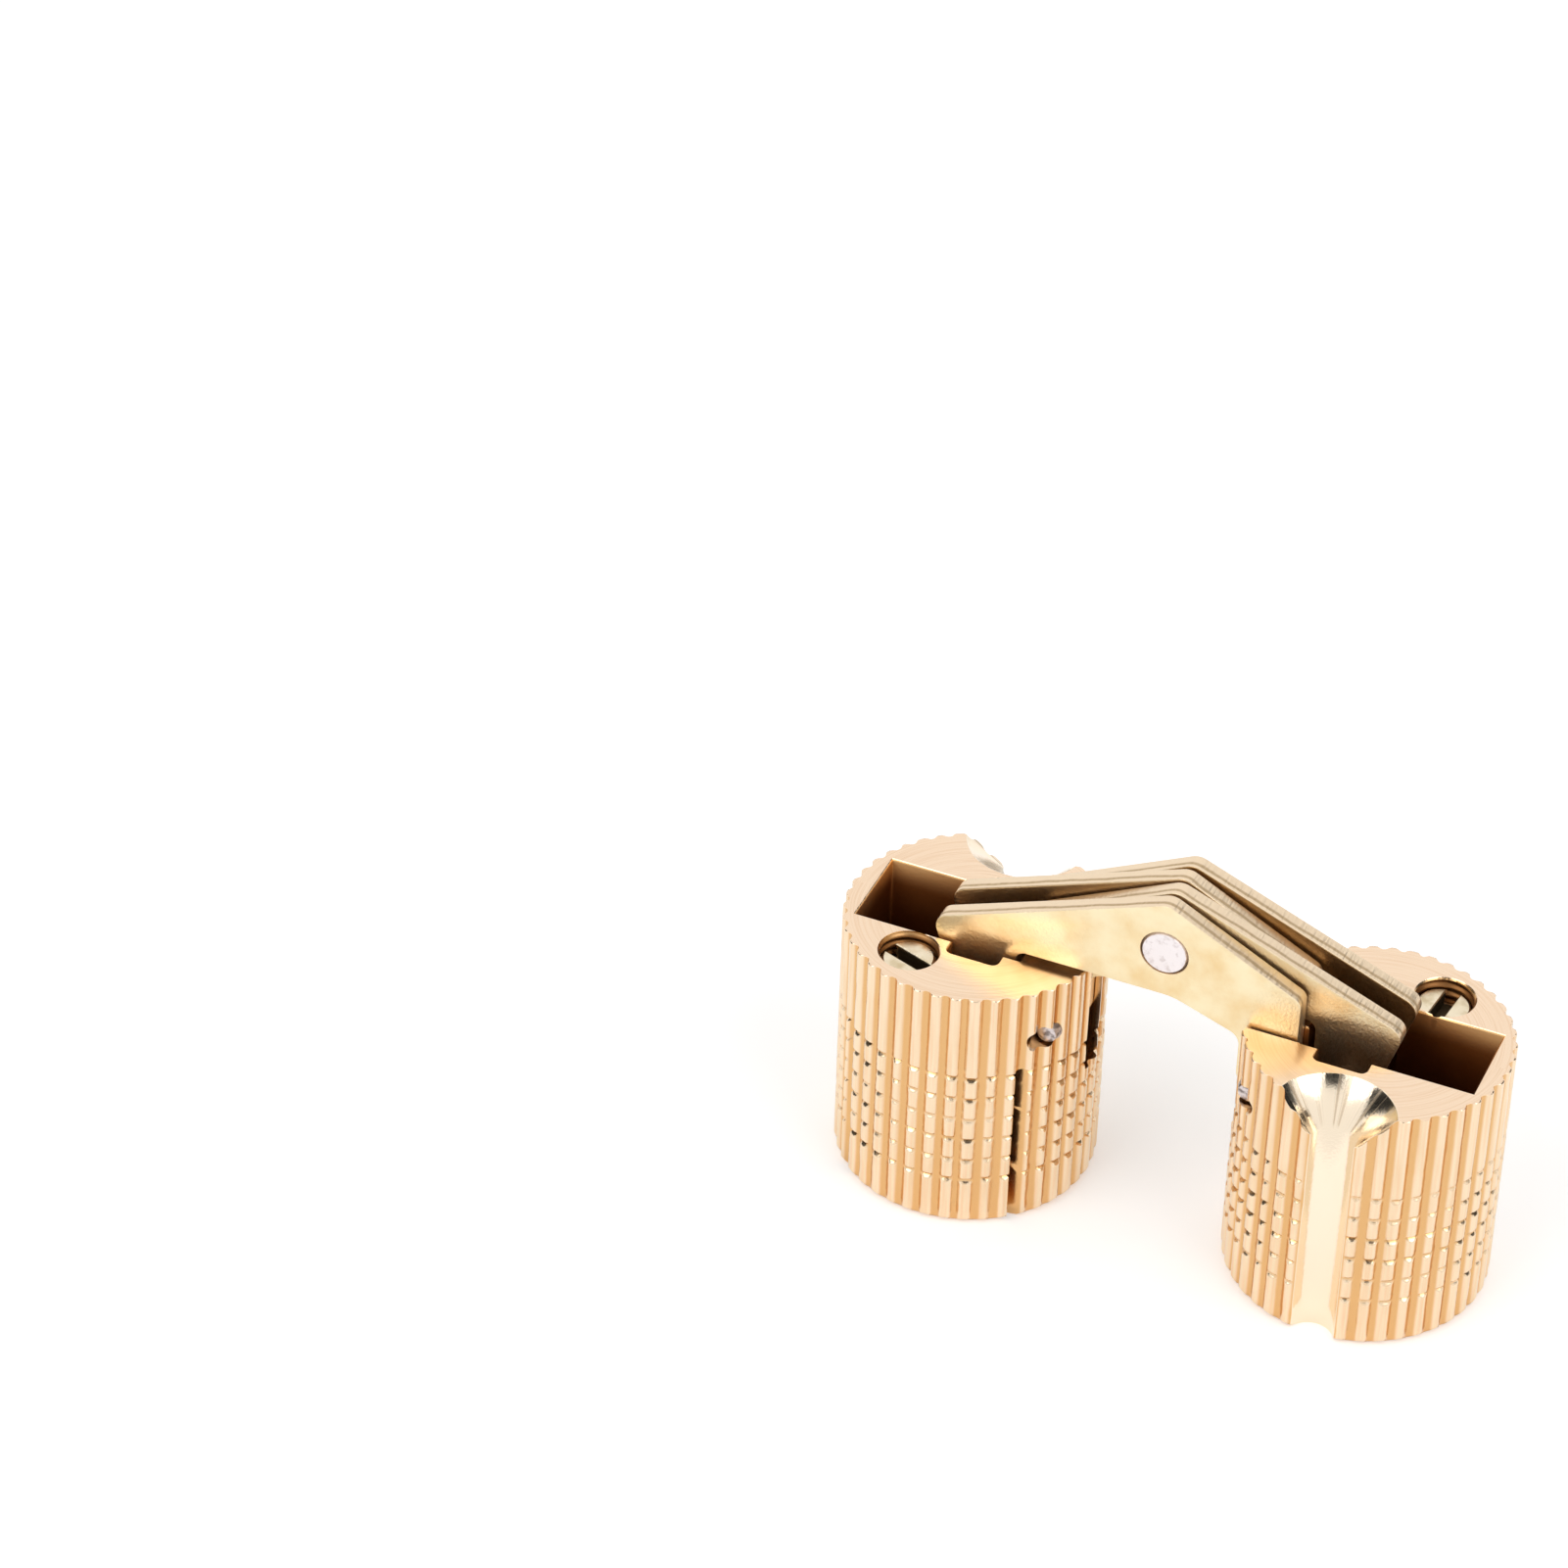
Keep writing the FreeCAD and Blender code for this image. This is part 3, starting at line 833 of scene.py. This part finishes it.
def card(name, width, height, material):
    mesh = bpy.data.meshes.new(name)
    x, y = width / 2, height / 2
    mesh.from_pydata([(-x, -y, 0), (x, -y, 0), (x, y, 0), (-x, y, 0)], [], [(0, 1, 2, 3)])
    mesh.materials.append(material)
    sheet = linked(name, mesh)
    return sheet


def makeFloor():
    material, board = newMaterial("paleFloor")
    white = cloudy(board, 30.0, tones["floor"], tones["floorLight"])
    matt = board.add("ShaderNodeBsdfDiffuse", {"Color": white})
    strength = seenWhite(board) * stagePlan["floorGlow"]
    glow = board.add("ShaderNodeEmission", {"Color": white, "Strength": strength})
    board.add("ShaderNodeOutputMaterial", {"Surface": board.add("ShaderNodeAddShader", {0: matt, 1: glow})})
    card("floor", 2 * stagePlan["floorSize"], 2 * stagePlan["floorSize"], material)


def makeWorld():
    world = bpy.data.worlds.new("studio")
    bpy.context.scene.world = world
    world.use_nodes = True
    world.node_tree.nodes.clear()
    board = Board(world.node_tree)
    ambient = stagePlan["ambient"]
    strength = ambient + seenWhite(board) * (1 - ambient)
    sky = board.add("ShaderNodeBackground", {"Color": (1, 1, 1, 1), "Strength": strength})
    board.add("ShaderNodeOutputWorld", {"Surface": sky})


def direction(azimuth, elevation):  # azimuth 0 is the front, positive to the right
    turn, rise = math.radians(azimuth), math.radians(elevation)
    return Vector((math.sin(turn) * math.cos(rise), -math.cos(turn) * math.cos(rise), math.sin(rise)))


def facing(holder, azimuth, elevation, distance):
    away = direction(azimuth, elevation)
    holder.location = away * distance
    holder.rotation_euler = (-away).to_track_quat("-Z", "Y").to_euler()


def makeLamps():
    for name, (azimuth, elevation, distance, size, power) in lampPlan.items():
        lamp = bpy.data.lights.new(name, "AREA")
        lamp.energy = power
        lamp.size = size
        facing(linked(name, lamp), azimuth, elevation, distance)


def makeFlags():
    material, board = newMaterial("darkCard")
    black = cloudy(board, 30.0, tones["flag"], tones["flagLight"])
    board.add("ShaderNodeOutputMaterial", {"Surface": board.add("ShaderNodeBsdfDiffuse", {"Color": black})})
    for name, (azimuth, elevation, distance, width, height) in flagPlan.items():
        sheet = card(name, width, height, material)
        sheet.visible_camera = False
        facing(sheet, azimuth, elevation, distance)


cameraPlan = {  # degrees, metres, sensor in millimetres; aside and above move the eye off the object's middle
    "azimuth": 22.52, "elevation": 37.49, "roll": 1.80, "distance": 0.300,
    "aside": -0.01986, "above": 0.01201, "target": 0.012,
    "sensor": 36, "focalShare": 5992 / 1601,
}


def makeCamera():
    plan = cameraPlan
    azimuth, roll = math.radians(plan["azimuth"]), math.radians(plan["roll"])
    back = direction(plan["azimuth"], plan["elevation"])
    level = Vector((math.cos(azimuth), math.sin(azimuth), 0))
    rise = back.cross(level)
    right = level * math.cos(roll) + rise * math.sin(roll)
    up = rise * math.cos(roll) - level * math.sin(roll)
    eye = Vector((0, 0, plan["target"])) + back * plan["distance"]
    eye = eye + right * plan["aside"] + up * plan["above"]
    lens = bpy.data.cameras.new("camera")
    lens.sensor_width = plan["sensor"]
    lens.lens = plan["sensor"] * plan["focalShare"]
    lens.clip_start = 0.01
    camera = linked("camera", lens)
    turned = Matrix((right, up, back)).transposed().to_4x4()
    camera.matrix_world = Matrix.Translation(eye) @ turned
    bpy.context.scene.camera = camera


makeFloor()
makeWorld()
makeLamps()
makeFlags()
makeCamera()
bpy.context.scene.view_settings.view_transform = "Standard"
print("stage made")
